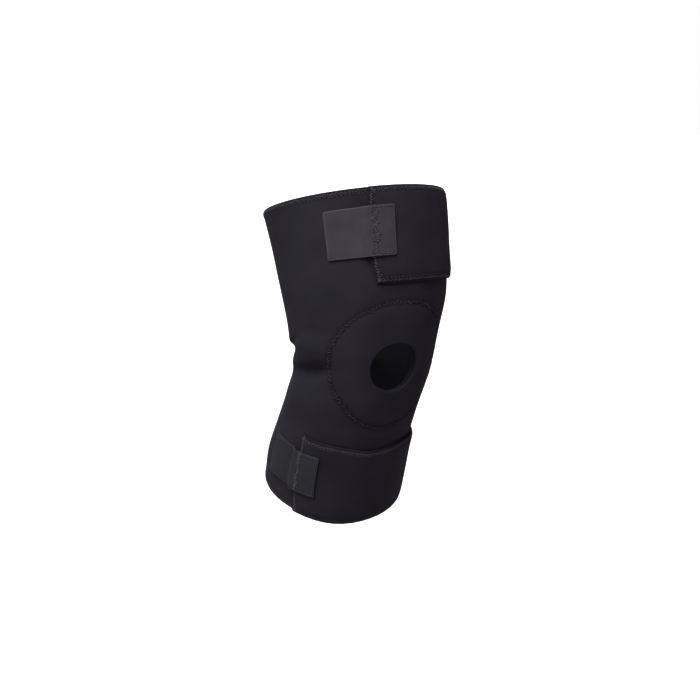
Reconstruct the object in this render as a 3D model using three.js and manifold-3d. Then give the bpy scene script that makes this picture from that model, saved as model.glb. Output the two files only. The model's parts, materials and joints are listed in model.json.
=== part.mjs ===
// A wrap-around knee sleeve of neoprene with an open kneecap, shaped as it sits on a slightly bent knee.
// Millimetres, +Z up, the front of the knee towards -Y. The origin is the middle of the knee joint.
// "turn" is the angle round the leg in degrees, from the front of the knee towards -X.
import * as THREE from "three";
import { mergeVertices } from "three/addons/utils/BufferGeometryUtils.js";
import Module from "manifold-3d";

const wasm = await Module();
wasm.setup();

// Lengths of the two halves, from the middle of the knee to the middle of each rim
const thighLength = 155;
const calfLength = 127;

// Outer radius of the sleeve at the top rim, round the knee and at the bottom rim
const thighRadius = 85;
const kneeRadius = 65.5;
const calfRadius = 66;

// How far each rim lies behind and beside the knee, and how much its plane tips
const thighSetBack = 27;
const calfSetBack = 52;
const thighLean = 6;
const calfLean = -5;
const thighTilt = 15;
const calfTilt = 17;

// Sheet thicknesses, and the running gap between two layers
const wall = 4;
const flapWall = 3.8;
const padThickness = 3;
const tabThickness = 1.5;
const gap = 0.35;

// Opening over the kneecap and the padded ring sewn behind it: their middle and their radii
const kneecapRise = 12.5;
const kneecapTurn = 3;
const holeRadius = 23;
const padRadius = 63;

// Upper and lower wrap flaps: height, the sewn end's turn, the free end's turn and how far that end slants
const upperFlapHeight = 84;
const upperFlapRoot = -150;
const upperFlapEnd = 20.5;
const upperFlapSlant = -3;
const lowerFlapHeight = 90;
const lowerFlapRoot = -140;
const lowerFlapEnd = 60;
const lowerFlapSlant = 7;

// Hook tape tabs: height, length round the leg, the length sewn on the flap and the distance to the rim
const tabHeight = 44.5;
const upperTabLength = 64;
const upperTabSewn = 20;
const upperTabInset = 17.5;
const lowerTabLength = 61;
const lowerTabSewn = 23;
const lowerTabInset = 27;

// Length over which a tab steps down from its flap to the sleeve
const tabRamp = 7;

// Mesh: degrees round the leg, length of a row, degrees round a cut circle, and the least share of a step
const turnPitch = 8;
const rowPitch = 10.5;
const circlePitch = 9;
const leastStep = 0.2;

// Length of one stride when a distance is paced out along the surface
const stride = 0.25;

// Each half of the leg: signed length, set-back, lean and tilt at its rim
const thigh = { length: thighLength, setBack: thighSetBack, lean: thighLean, tilt: thighTilt };
const calf = { length: -calfLength, setBack: calfSetBack, lean: calfLean, tilt: -calfTilt };

// Middle line from the bottom rim to the top rim, as shares of that half's values
const spine = [
  { half: calf, at: 1.0, back: 1.0, lean: 1.0, tilt: 1.0 },
  { half: calf, at: 0.75, back: 0.75, lean: 1.28, tilt: 0.9 },
  { half: calf, at: 0.5, back: 0.46, lean: 1.3, tilt: 0.72 },
  { half: calf, at: 0.25, back: 0.18, lean: 0.96, tilt: 0.45 },
  { half: thigh, at: 0, back: 0, lean: 0, tilt: 0 },
  { half: thigh, at: 0.23, back: -0.12, lean: 0.32, tilt: 0.3 },
  { half: thigh, at: 0.45, back: 0, lean: 0.75, tilt: 0.6 },
  { half: thigh, at: 0.72, back: 0.4, lean: 0.8, tilt: 0.85 },
  { half: thigh, at: 1.0, back: 1.0, lean: 1.0, tilt: 1.0 },
];

// Girth at the same places: side, front and rear are shares of the radius named in the row
const girth = [
  { half: calf, at: 1.0, radius: calfRadius, side: 1.0, front: 1.0, rear: 1.0 },
  { half: calf, at: 0.75, radius: calfRadius, side: 1.0, front: 1.01, rear: 1.02 },
  { half: calf, at: 0.5, radius: calfRadius, side: 0.95, front: 1.0, rear: 1.0 },
  { half: calf, at: 0.25, radius: kneeRadius, side: 0.95, front: 1.02, rear: 0.97 },
  { half: thigh, at: 0, radius: kneeRadius, side: 0.985, front: 1.05, rear: 0.98 },
  { half: thigh, at: 0.23, radius: kneeRadius, side: 1.07, front: 1.1, rear: 1.07 },
  { half: thigh, at: 0.45, radius: thighRadius, side: 0.9, front: 0.92, rear: 0.9 },
  { half: thigh, at: 0.72, radius: thighRadius, side: 0.945, front: 0.96, rear: 0.96 },
  { half: thigh, at: 1.0, radius: thighRadius, side: 0.995, front: 1.0, rear: 1.01 },
];

// Folds of the sleeve round the back and side of the knee. at is a share of the thigh's length, deep, above
// and below are shares of the knee's radius, spread and turn are degrees, and slant is the rise in shares
// of the knee's radius for each 90 degrees of turn. A negative depth is a soft bulge.
const folds = [
  { at: 0.15, turn: 165, spread: 56, deep: 0.1, above: 0.06, below: 0.17, slant: 0 },
  { at: 0.05, turn: 74, spread: 22, deep: 0.05, above: 0.12, below: 0.12, slant: -0.25 },
  { at: 0.19, turn: 78, spread: 26, deep: -0.025, above: 0.2, below: 0.12, slant: 0 },
  { at: -0.14, turn: 80, spread: 30, deep: -0.02, above: 0.16, below: 0.25, slant: 0 },
  { at: -0.03, turn: 184, spread: 34, deep: 0.07, above: 0.08, below: 0.15, slant: 0 },
  { at: -0.19, turn: 176, spread: 28, deep: 0.045, above: 0.08, below: 0.15, slant: 0 },
];

const radians = THREE.MathUtils.degToRad;

// The tables as plain lengths and angles
const spineRows = spine.map(({ half, at, back, lean, tilt }) => ({
  height: at * half.length,
  x: lean * half.lean,
  y: back * half.setBack,
  tilt: radians(tilt * half.tilt),
}));
const girthRows = girth.map(({ half, at, radius, side, front, rear }) => ({
  height: at * half.length,
  side: side * radius,
  front: front * radius,
  rear: rear * radius,
}));

// One column of a table at a height, on a smooth curve through its rows
function smooth(rows, column, height) {
  const slope = (k) => {
    const low = rows[Math.max(k - 1, 0)];
    const high = rows[Math.min(k + 1, rows.length - 1)];
    return (high[column] - low[column]) / (high.height - low.height);
  };
  const above = rows.findIndex((row) => row.height > height);
  const k = above < 0 ? rows.length - 2 : Math.max(above - 1, 0);
  const low = rows[k];
  const span = rows[k + 1].height - low.height;
  const rise = rows[k + 1][column] - low[column];
  const t = (height - low.height) / span;
  const bend = (1 - t) * (slope(k) * span - rise) - t * (slope(k + 1) * span - rise);
  return low[column] + t * rise + t * (1 - t) * bend;
}

// How deep the folds press the surface in at a height and turn
function foldDepth(height, turn) {
  return folds.reduce((sum, { at, turn: middle, spread, deep, above, below, slant }) => {
    const aside = THREE.MathUtils.euclideanModulo(turn - middle + 180, 360) - 180;
    const up = height - at * thighLength - (slant * kneeRadius * aside) / 90;
    const reach = (up > 0 ? above : below) * kneeRadius;
    return sum + deep * kneeRadius * Math.exp(-((up / reach) ** 2) - (aside / spread) ** 2);
  }, 0);
}

// A point of the sleeve's outer face, lifted outwards by lift
function skin(height, turn, lift) {
  const angle = radians(turn);
  const side = smooth(girthRows, "side", height);
  const fore = smooth(girthRows, Math.cos(angle) > 0 ? "front" : "rear", height);
  const tilt = smooth(spineRows, "tilt", height);
  const point = new THREE.Vector2(-Math.sin(angle) * side, -Math.cos(angle) * fore);
  const outward = new THREE.Vector2(-Math.sin(angle) / side, -Math.cos(angle) / fore).normalize();
  point.addScaledVector(outward, lift - foldDepth(height, turn));
  return new THREE.Vector3(
    smooth(spineRows, "x", height) + point.x,
    smooth(spineRows, "y", height) + point.y * Math.cos(tilt),
    height - point.y * Math.sin(tilt),
  );
}

// The height reached by going a length of cloth up the surface at a turn, or down if it is negative
function climb(from, length, turn) {
  const step = stride * Math.sign(length);
  let height = from;
  let gone = 0;
  while (gone < Math.abs(length)) {
    gone += skin(height, turn, 0).distanceTo(skin(height + step, turn, 0));
    height += step;
  }
  return height;
}

// The multiples of a pitch between two values, with both values
function gridSteps(from, to, pitch) {
  const first = Math.ceil(from / pitch);
  const count = Math.max(Math.floor(to / pitch) - first + 1, 0);
  const multiples = Array.from({ length: count }, (_, i) => (first + i) * pitch);
  const margin = leastStep * pitch;
  return [from, ...multiples.filter((value) => value - from > margin && to - value > margin), to];
}

// Heights on the sleeve's own rows between two heights
function heightSteps(from, to) {
  const pitchOf = (length) => length / Math.round(length / rowPitch);
  if (to <= 0) return gridSteps(from, to, pitchOf(calfLength));
  if (from >= 0) return gridSteps(from, to, pitchOf(thighLength));
  return [...heightSteps(from, 0), ...heightSteps(0, to).slice(1)];
}

function geometryOf(points, faces) {
  const geometry = new THREE.BufferGeometry().setFromPoints(points);
  geometry.setIndex(faces.flat());
  return geometry;
}

// A closed sheet over a grid of heights and turns, between two lifts that may change with the turn.
// shift is how many degrees a point of the grid moves sideways
function sheet(heights, turns, innerLift, outerLift, shift) {
  const points = [];
  for (const lift of [innerLift, outerLift]) {
    for (const turn of turns) {
      for (const height of heights) points.push(skin(height, turn + shift(height, turn), lift(turn)));
    }
  }
  const across = turns.length;
  const along = heights.length;
  const at = (layer, i, k) => (layer * across + i) * along + k;
  const faces = [];
  const quad = (a, b, c, d) => faces.push([a, b, c], [a, c, d]);
  for (let i = 0; i < across - 1; i++) {
    for (let k = 0; k < along - 1; k++) {
      quad(at(0, i, k), at(0, i + 1, k), at(0, i + 1, k + 1), at(0, i, k + 1));
      quad(at(1, i, k + 1), at(1, i + 1, k + 1), at(1, i + 1, k), at(1, i, k));
    }
  }
  for (let i = 0; i < across - 1; i++) {
    quad(at(0, i, along - 1), at(0, i + 1, along - 1), at(1, i + 1, along - 1), at(1, i, along - 1));
    quad(at(1, i, 0), at(1, i + 1, 0), at(0, i + 1, 0), at(0, i, 0));
  }
  for (let k = 0; k < along - 1; k++) {
    quad(at(0, 0, k), at(0, 0, k + 1), at(1, 0, k + 1), at(1, 0, k));
    quad(at(1, across - 1, k), at(1, across - 1, k + 1), at(0, across - 1, k + 1), at(0, across - 1, k));
  }
  return geometryOf(points, faces);
}

// A solid block inside the sleeve's outer face moved by lift, closed by a fan at each end
function core(heights, lift) {
  const turns = gridSteps(-180, 180, turnPitch).slice(0, -1);
  const points = heights.flatMap((height) => turns.map((turn) => skin(height, turn, lift)));
  const faces = [];
  const round = turns.length;
  for (let k = 0; k < heights.length - 1; k++) {
    for (let i = 0; i < round; i++) {
      const next = (i + 1) % round;
      const [a, b, c, d] = [k * round + i, k * round + next, (k + 1) * round + next, (k + 1) * round + i];
      faces.push([a, c, b], [a, d, c]);
    }
  }
  const top = (heights.length - 1) * round;
  for (const ring of [0, top]) {
    const middle = new THREE.Vector3();
    for (const point of points.slice(ring, ring + round)) middle.addScaledVector(point, 1 / round);
    points.push(middle);
  }
  for (let i = 0; i < round; i++) {
    const next = (i + 1) % round;
    faces.push([points.length - 2, i, next], [points.length - 1, top + next, top + i]);
  }
  return geometryOf(points, faces);
}

// A plug through the front of the knee whose outline is a circle drawn on the surface
function plug(radius, innerLift, outerLift) {
  const count = Math.round(360 / circlePitch);
  const points = [innerLift, outerLift].flatMap((lift) =>
    Array.from({ length: count }, (_, i) => {
      const angle = (i / count) * 2 * Math.PI;
      const turn = kneecapTurn + THREE.MathUtils.radToDeg((radius * Math.cos(angle)) / kneeRadius);
      return skin(climb(kneecapRise, radius * Math.sin(angle), kneecapTurn), turn, lift);
    }),
  );
  points.push(skin(kneecapRise, kneecapTurn, innerLift), skin(kneecapRise, kneecapTurn, outerLift));
  const faces = [];
  for (let i = 0; i < count; i++) {
    const next = (i + 1) % count;
    faces.push([i, next, count + next], [i, count + next, count + i]);
    faces.push([2 * count, next, i], [2 * count + 1, count + i, count + next]);
  }
  return geometryOf(points, faces);
}

// Between three.js geometry and a solid that can be cut
function solidOf(geometry) {
  const merged = mergeVertices(geometry);
  const made = new wasm.Manifold(
    new wasm.Mesh({
      numProp: 3,
      vertProperties: merged.attributes.position.array,
      triVerts: new Uint32Array(merged.index.array),
    }),
  );
  if (made.volume() > 0) return made;
  merged.index.array.reverse();
  return solidOf(merged);
}

function geometryFrom(solid) {
  const { vertProperties, triVerts } = solid.getMesh();
  const geometry = new THREE.BufferGeometry();
  geometry.setAttribute("position", new THREE.BufferAttribute(vertProperties, 3));
  geometry.setIndex(new THREE.BufferAttribute(triVerts, 1));
  return geometry;
}

// The sleeve: one hollow sheet from rim to rim with the kneecap opening cut through
function sleeveBody() {
  const heights = heightSteps(-calfLength, thighLength);
  const longer = [-calfLength - rowPitch, ...heights.slice(1, -1), thighLength + rowPitch];
  const hollow = solidOf(core(longer, -wall));
  const opening = solidOf(plug(holeRadius, -2 * wall, wall));
  return geometryFrom(solidOf(core(heights, 0)).subtract(hollow).subtract(opening));
}

// The padded ring inside the sleeve, round the opening
function kneecapPad() {
  const outer = -wall - gap;
  const inner = outer - padThickness;
  const reach = padRadius + rowPitch;
  const heights = heightSteps(kneecapRise - reach, kneecapRise + reach);
  const longer = heightSteps(kneecapRise - reach - rowPitch, kneecapRise + reach + rowPitch);
  const layer = solidOf(core(heights, outer)).subtract(solidOf(core(longer, inner)));
  const disc = solidOf(plug(padRadius, inner - padThickness, outer + padThickness));
  const opening = solidOf(plug(holeRadius, inner - padThickness, outer + padThickness));
  return geometryFrom(layer.intersect(disc).subtract(opening));
}

// A flap is the same sheet laid on the sleeve, from its sewn root round the front to its free end
const upperFlap = {
  heights: heightSteps(climb(thighLength, -upperFlapHeight, upperFlapEnd), thighLength),
  root: upperFlapRoot,
  end: upperFlapEnd,
  slant: upperFlapSlant,
};
const lowerFlap = {
  heights: heightSteps(-calfLength, climb(-calfLength, lowerFlapHeight, 0)),
  root: lowerFlapRoot,
  end: lowerFlapEnd,
  slant: lowerFlapSlant,
};

// Degrees by which a flap's free end has moved sideways at a height
const slantAt = (flap, height) => {
  const low = flap.heights[0];
  return (flap.slant * (height - low)) / (flap.heights.at(-1) - low);
};

function wrapFlap(flap) {
  const { heights, root, end } = flap;
  const shift = (height, turn) => (slantAt(flap, height) * (turn - root)) / (end - root);
  return sheet(heights, gridSteps(root, end, turnPitch), () => gap, () => gap + flapWall, shift);
}

// A tab is sewn on the flap's free end and steps down onto the sleeve past it
const onFlap = flapWall + 2 * gap;
function hookTab(flap, low, high, sewn, length, radius) {
  const degrees = (distance) => THREE.MathUtils.radToDeg(distance / radius);
  const start = flap.end - degrees(sewn);
  const edge = flap.end + degrees(gap * 2);
  const foot = edge + degrees(tabRamp);
  const end = start + degrees(length);
  const turns = [...gridSteps(start, edge, turnPitch), ...gridSteps(foot, end, turnPitch)];
  const inner = (turn) => (turn <= edge ? onFlap : gap);
  const outer = (turn) => inner(turn) + tabThickness;
  return sheet(heightSteps(low, high), turns, inner, outer, (height) => slantAt(flap, height));
}

function upperHookTab() {
  const high = climb(thighLength, -upperTabInset, upperFlapEnd);
  const low = climb(high, -tabHeight, upperFlapEnd);
  return hookTab(upperFlap, low, high, upperTabSewn, upperTabLength, thighRadius);
}

function lowerHookTab() {
  const low = climb(-calfLength, lowerTabInset, lowerFlapEnd);
  const high = climb(low, tabHeight, lowerFlapEnd);
  return hookTab(lowerFlap, low, high, lowerTabSewn, lowerTabLength, calfRadius);
}

// Finishes
const neoprene = new THREE.MeshStandardMaterial({ color: 0x1c1b20, roughness: 0.85, metalness: 0 });
const lining = new THREE.MeshStandardMaterial({ color: 0x141317, roughness: 0.9, metalness: 0 });
const hookTape = new THREE.MeshStandardMaterial({ color: 0x37353a, roughness: 0.6, metalness: 0 });

function piece(name, geometry, material) {
  const mesh = new THREE.Mesh(geometry, material);
  geometry.computeVertexNormals();
  mesh.name = name;
  return mesh;
}

const kneeSleeve = new THREE.Group();
kneeSleeve.add(
  piece("sleeve_body", sleeveBody(), neoprene),
  piece("kneecap_pad", kneecapPad(), lining),
  piece("upper_flap", wrapFlap(upperFlap), neoprene),
  piece("lower_flap", wrapFlap(lowerFlap), neoprene),
  piece("upper_hook_tab", upperHookTab(), hookTape),
  piece("lower_hook_tab", lowerHookTab(), hookTape),
);

export default kneeSleeve;
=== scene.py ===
# %% [markdown]
# A knee sleeve of 4 mm neoprene, as it sits on a slightly bent knee. Two flaps wrap round the front and
# close with tabs of hook tape, and a padded ring is sewn behind the opening over the kneecap.
# The packed solids give every piece its place. Here each one is made again as cloth.

# %% Frame
import json
import math

import bmesh
import bpy
import numpy as np
from mathutils import Matrix, Vector

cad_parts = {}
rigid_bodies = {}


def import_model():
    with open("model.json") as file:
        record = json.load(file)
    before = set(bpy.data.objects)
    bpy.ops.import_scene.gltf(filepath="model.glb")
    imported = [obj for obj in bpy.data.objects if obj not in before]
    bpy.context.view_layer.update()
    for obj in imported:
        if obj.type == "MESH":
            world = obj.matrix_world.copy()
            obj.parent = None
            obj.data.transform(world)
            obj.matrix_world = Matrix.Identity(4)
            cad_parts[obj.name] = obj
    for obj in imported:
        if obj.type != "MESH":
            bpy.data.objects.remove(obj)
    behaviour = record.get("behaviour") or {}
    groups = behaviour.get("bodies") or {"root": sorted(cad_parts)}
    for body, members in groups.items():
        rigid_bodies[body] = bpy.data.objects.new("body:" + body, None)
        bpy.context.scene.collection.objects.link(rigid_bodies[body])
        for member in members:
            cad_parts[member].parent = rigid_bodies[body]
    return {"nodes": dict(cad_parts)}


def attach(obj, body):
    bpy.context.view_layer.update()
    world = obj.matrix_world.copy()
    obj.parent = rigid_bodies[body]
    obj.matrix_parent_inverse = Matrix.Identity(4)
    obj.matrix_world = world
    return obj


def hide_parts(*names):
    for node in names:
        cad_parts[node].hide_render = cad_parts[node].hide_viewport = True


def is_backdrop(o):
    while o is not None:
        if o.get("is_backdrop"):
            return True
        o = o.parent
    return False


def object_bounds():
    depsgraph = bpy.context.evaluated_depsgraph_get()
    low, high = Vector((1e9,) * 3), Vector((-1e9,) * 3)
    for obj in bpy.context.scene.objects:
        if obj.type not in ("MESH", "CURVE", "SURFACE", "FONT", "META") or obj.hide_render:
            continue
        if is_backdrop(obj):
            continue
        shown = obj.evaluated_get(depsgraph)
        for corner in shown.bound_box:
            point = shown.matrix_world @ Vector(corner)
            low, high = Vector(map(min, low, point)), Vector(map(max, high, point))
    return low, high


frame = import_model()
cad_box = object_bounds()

print("packed nodes:", sorted(frame["nodes"]))

# %% [markdown]
# The camera stands where a photographer would, to the left of the knee and a little above it. It comes
# first, because every choice of detail depends on how large a millimetre is in the picture.

# %% Camera
CAMERA_PLACE = Vector((-0.5578, -1.0289, 0.2662))
CAMERA_TARGET = Vector((-0.0067, 0.0076, 0.0167))
LENS = 64.96

camera = bpy.data.objects.new("camera", bpy.data.cameras.new("camera"))
bpy.context.scene.collection.objects.link(camera)
camera.location = CAMERA_PLACE
camera.rotation_euler = (CAMERA_TARGET - CAMERA_PLACE).to_track_quat("-Z", "Y").to_euler()
camera.data.lens = LENS
camera.data.sensor_width = 36
bpy.context.scene.camera = camera
print("camera distance", round((CAMERA_TARGET - CAMERA_PLACE).length, 3), "m")

# %% [markdown]
# The cloth follows the leg, so the leg's form comes next. It could be sculpted, or copied from the packed
# mesh, but that mesh has flat faces that would show. A smooth curve through a few named sections gives
# the same form without facets, at any fineness. Lengths are in millimetres and angles in degrees here.

# %% Sections of the leg
MM = 0.001
THIGH = {"length": 155, "back": 27, "lean": 6, "tilt": 15}
CALF = {"length": -127, "back": 52, "lean": -5, "tilt": -17}
THIGH_RADIUS, KNEE_RADIUS, CALF_RADIUS = 85, 65.5, 66

# half of the leg, share of its length, set-back, lean and tilt, then radius and its side, front and rear
SECTIONS = [
    (CALF, 1.00, 1.00, 1.00, 1.00, CALF_RADIUS, 1.000, 1.00, 1.00),
    (CALF, 0.75, 0.75, 1.28, 0.90, CALF_RADIUS, 1.000, 1.01, 1.02),
    (CALF, 0.50, 0.46, 1.30, 0.72, CALF_RADIUS, 0.950, 1.00, 1.00),
    (CALF, 0.25, 0.18, 0.96, 0.45, KNEE_RADIUS, 0.950, 1.02, 0.97),
    (THIGH, 0.00, 0.00, 0.00, 0.00, KNEE_RADIUS, 0.985, 1.05, 0.98),
    (THIGH, 0.23, -0.12, 0.32, 0.30, KNEE_RADIUS, 1.070, 1.10, 1.07),
    (THIGH, 0.45, 0.00, 0.75, 0.60, THIGH_RADIUS, 0.900, 0.92, 0.90),
    (THIGH, 0.72, 0.40, 0.80, 0.85, THIGH_RADIUS, 0.945, 0.96, 0.96),
    (THIGH, 1.00, 1.00, 1.00, 1.00, THIGH_RADIUS, 0.995, 1.00, 1.01),
]

HEIGHTS = np.arange(CALF["length"], THIGH["length"] + 0.5, 1.0)
knots = np.array([half["length"] * share for half, share, *_ in SECTIONS])


def column(values):
    """A smooth curve through one value for each section, read off every millimetre."""
    values = np.array(values, float)
    slopes = np.empty(len(knots))
    for k in range(len(knots)):
        low, high = max(k - 1, 0), min(k + 1, len(knots) - 1)
        slopes[k] = (values[high] - values[low]) / (knots[high] - knots[low])
    k = np.clip(np.searchsorted(knots, HEIGHTS, side="right") - 1, 0, len(knots) - 2)
    span = knots[k + 1] - knots[k]
    rise = values[k + 1] - values[k]
    t = (HEIGHTS - knots[k]) / span
    bend = (1 - t) * (slopes[k] * span - rise) - t * (slopes[k + 1] * span - rise)
    return values[k] + t * rise + t * (1 - t) * bend


FORM = {
    "x": column([half["lean"] * lean for half, _, _, lean, *_ in SECTIONS]),
    "y": column([half["back"] * back for half, _, back, *_ in SECTIONS]),
    "tilt": column([half["tilt"] * tilt for half, _, _, _, tilt, *_ in SECTIONS]),
    "side": column([row[5] * row[6] for row in SECTIONS]),
    "front": column([row[5] * row[7] for row in SECTIONS]),
    "rear": column([row[5] * row[8] for row in SECTIONS]),
}

print("drawn through", len(SECTIONS), "sections, from", HEIGHTS[0], "to", HEIGHTS[-1], "mm")

# %% [markdown]
# The crease behind the knee and the dent at its side are soft hollows in that form, so each is a bell
# curve at its own place round and up the leg. The hem at the calf also hangs a little at the shin.

# %% Surface of the leg
# middle as a share of the thigh, turn, spread, depth, reach above and below as shares of the knee, slant
FOLDS = [
    (0.15, 165, 56, 0.100, 0.06, 0.17, 0),
    (0.05, 74, 22, 0.050, 0.12, 0.12, -0.25),
    (0.19, 78, 26, -0.025, 0.20, 0.12, 0),
    (-0.14, 80, 30, -0.020, 0.16, 0.25, 0),
    (-0.03, 184, 34, 0.070, 0.08, 0.15, 0),
    (-0.19, 176, 28, 0.045, 0.08, 0.15, 0),
]

# the hem's sag at the shin: millimetres, turn, degrees each way, reach up the leg
HEM_SAG, HEM_TURN, HEM_SPREAD, HEM_REACH = 3, 26, 30, 26


def form(name, height):
    return np.interp(height, HEIGHTS, FORM[name])


def fold_depth(turn, height):
    depth = 0
    for share, middle, spread, deep, above, below, slant in FOLDS:
        aside = (turn - middle + 180) % 360 - 180
        up = height - share * THIGH["length"] - slant * KNEE_RADIUS * aside / 90
        reach = np.where(up > 0, above, below) * KNEE_RADIUS
        depth = depth + deep * KNEE_RADIUS * np.exp(-((up / reach) ** 2) - (aside / spread) ** 2)
    return depth


def on_leg(turn, height, lift):
    """Points in metres, from degrees round the leg, millimetres up it and millimetres off its surface."""
    angle = np.radians(turn)
    side = form("side", height)
    fore = np.where(np.cos(angle) > 0, form("front", height), form("rear", height))
    out = np.stack([-np.sin(angle) / side, -np.cos(angle) / fore], -1)
    out /= np.linalg.norm(out, axis=-1, keepdims=True)
    away = (lift - fold_depth(turn, height))[..., None] * out
    x = -np.sin(angle) * side + away[..., 0]
    y = -np.cos(angle) * fore + away[..., 1]
    tilt = np.radians(form("tilt", height))
    aside, up = (turn - HEM_TURN) / HEM_SPREAD, (height - CALF["length"]) / HEM_REACH
    hem = HEM_SAG * np.exp(-(aside**2) - up**2)
    place = [form("x", height) + x, form("y", height) + y * np.cos(tilt), height - y * np.sin(tilt) - hem]
    return np.stack(place, -1) * MM


print("rims at", on_leg(np.array([0.0, 0.0]), HEIGHTS[[0, -1]], np.zeros(2)).round(3).tolist())

# %% [markdown]
# Cloth is cut flat. So each piece starts as a flat pattern in millimetres, with its zero at the middle of
# the kneecap opening: x runs round the leg and y up it. One function lays the pattern on the leg, and
# the same flat measures become the UV map, so that weave and stitches keep their real size.

# %% Pattern plane
KNEECAP_RISE, KNEECAP_TURN = 12.5, 3
BACK_SEAM = math.pi * KNEE_RADIUS
UV_MM = 10

front_line = on_leg(np.full(len(HEIGHTS), float(KNEECAP_TURN)), HEIGHTS, np.zeros(len(HEIGHTS)))
front_length = np.concatenate([[0], np.linalg.norm(np.diff(front_line, axis=0), axis=1).cumsum()]) / MM
front_length -= np.interp(KNEECAP_RISE, HEIGHTS, front_length)


def turn_of(x):
    return KNEECAP_TURN + np.degrees(x / KNEE_RADIUS)


def x_of(turn):
    return math.radians(turn - KNEECAP_TURN) * KNEE_RADIUS


def height_of(y):
    return np.interp(y, front_length, HEIGHTS)


def y_of(height):
    return float(np.interp(height, HEIGHTS, front_length))


def climbed(height, length, turn):
    """The height reached by going a length of cloth up the leg at a turn, or down if it is negative."""
    line = on_leg(np.full(len(HEIGHTS), float(turn)), HEIGHTS, np.zeros(len(HEIGHTS)))
    gone = np.concatenate([[0], np.linalg.norm(np.diff(line, axis=0), axis=1).cumsum()]) / MM
    return float(np.interp(np.interp(height, HEIGHTS, gone) + length, gone, HEIGHTS))


TOP, BOTTOM = y_of(THIGH["length"]), y_of(CALF["length"])
print("pattern of the body:", round(2 * BACK_SEAM), "by", round(TOP - BOTTOM), "mm")

# %% [markdown]
# Worn neoprene isn't perfectly smooth. The padded ring shows through as a low dome, its stitches pull a
# groove with small puckers, and the cloth has shallow waves from hands pulling it up. These heights are
# small, so they are added to the surface as real relief, not only as bump in the material.

# %% Ring, seams and waves
RING_RADIUS = 61.5
RING_RISE, RING_INSET, RING_SLOPE = 0.9, 3, 2.2
RING_FLAT, RING_FLAT_AT, RING_FLAT_SPREAD = 4.5, -42, 24
GROOVE_DEEP, GROOVE_HALF = 0.75, 2.6
PUCKER, PUCKER_PITCH, PUCKER_REACH = 0.22, 7.0, 5.0
WAVE = 0.32


def ring_flat(angle):
    """Millimetres by which the worn ring is flattened, from the angle in its pattern."""
    return RING_FLAT * np.exp(-(((np.degrees(angle) - RING_FLAT_AT) / RING_FLAT_SPREAD) ** 2))


def ring_distance(x, y):
    """Distance from the middle of the kneecap, measured so that the ring's stitches are a circle."""
    return np.hypot(x, y) + ring_flat(np.arctan2(y, x))


def waves(x, y, phase):
    """Broad shallow unevenness between -1 and 1, made of a few crossing waves."""
    round_leg = x / KNEE_RADIUS
    a = np.sin(4 * round_leg + 1.3 * np.sin(y / 29 + phase))
    b = np.sin(y / 13 + 1.1 * np.sin(3 * round_leg - phase) + 2)
    c = np.sin(2 * round_leg + y / 31 + phase) * np.sin(3 * round_leg - y / 19 + 1)
    return (a + b + c) / 3


def seam_relief(away, along):
    """Groove and puckers of a stitched line, from the distance to it and the place along it."""
    groove = -GROOVE_DEEP * np.exp(-((away / GROOVE_HALF) ** 2))
    pucker = PUCKER * np.sin(2 * np.pi * along / PUCKER_PITCH) * np.exp(-np.abs(away) / PUCKER_REACH)
    return groove + pucker


away = np.array([0.0, GROOVE_HALF, 3 * PUCKER_REACH])
print("relief of a seam at", away.tolist(), "mm:", seam_relief(away, np.zeros(3)).round(2).tolist())

# %% [markdown]
# The folds of the form are broad. Creases are narrower dents and bulges on top of them, steep on their
# upper side. They stop at the padded ring, because its second layer keeps the cloth there smooth.

# %% Creases
# turn, height, degrees each way, millimetres above and below, depth, fall in millimetres for a degree
CREASES = [
    (78, 8.0, 30, 4.5, 10, 4.3, -0.18),
    (72, 22.0, 26, 9, 9, -1.4, -0.10),
    (71, -20.0, 26, 11, 12, -1.7, 0),
    (70, 45.0, 20, 3.5, 5, 0.5, 0.03),
    (101, 30.5, 13, 3, 8, 2.6, -0.55),
    (150, 27.0, 40, 3, 9, 1.6, 0),
]
CREASE_STOP, CREASE_FADE = 2, 1.5


def crease_relief(turn, height):
    relief = 0
    for middle, level, spread, above, below, deep, fall in CREASES:
        aside = (turn - middle + 180) % 360 - 180
        up = height - level - fall * aside
        relief = relief - deep * np.exp(-((up / np.where(up > 0, above, below)) ** 2) - (aside / spread) ** 2)
    return relief


def body_relief(x, y):
    r = ring_distance(x, y)
    rise = RING_RISE / (1 + np.exp((r - RING_RADIUS + RING_INSET) / RING_SLOPE))
    along = RING_RADIUS * np.arctan2(y, x)
    outside = 1 / (1 + np.exp((RING_RADIUS + CREASE_STOP - r) / CREASE_FADE))
    creases = crease_relief(turn_of(x), height_of(y)) * outside
    return rise + creases + seam_relief(r - RING_RADIUS, along) + WAVE * waves(x, y, 0.6)


print("relief at the ring", body_relief(np.array([RING_RADIUS]), np.array([0.0])).round(2))

# %% [markdown]
# Finishes come before the pieces that wear them. All of them are matt, so each starts from the same
# shader with little gloss.

# %% Matt finish
MATT = 0.06


def new_material(name, colour, roughness):
    material = bpy.data.materials.new(name)
    material.use_nodes = True
    shader = material.node_tree.nodes["Principled BSDF"]
    shader.inputs["Base Color"].default_value = (*colour, 1)
    shader.inputs["Roughness"].default_value = roughness
    shader.inputs["Specular IOR Level"].default_value = MATT
    return material, shader


print("matt finish: specular level", MATT)

# %% [markdown]
# A finish is a small net of nodes. A few short helpers keep the nets readable: they add a node, join it and
# hand back its output, so that a formula reads as a formula.

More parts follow.
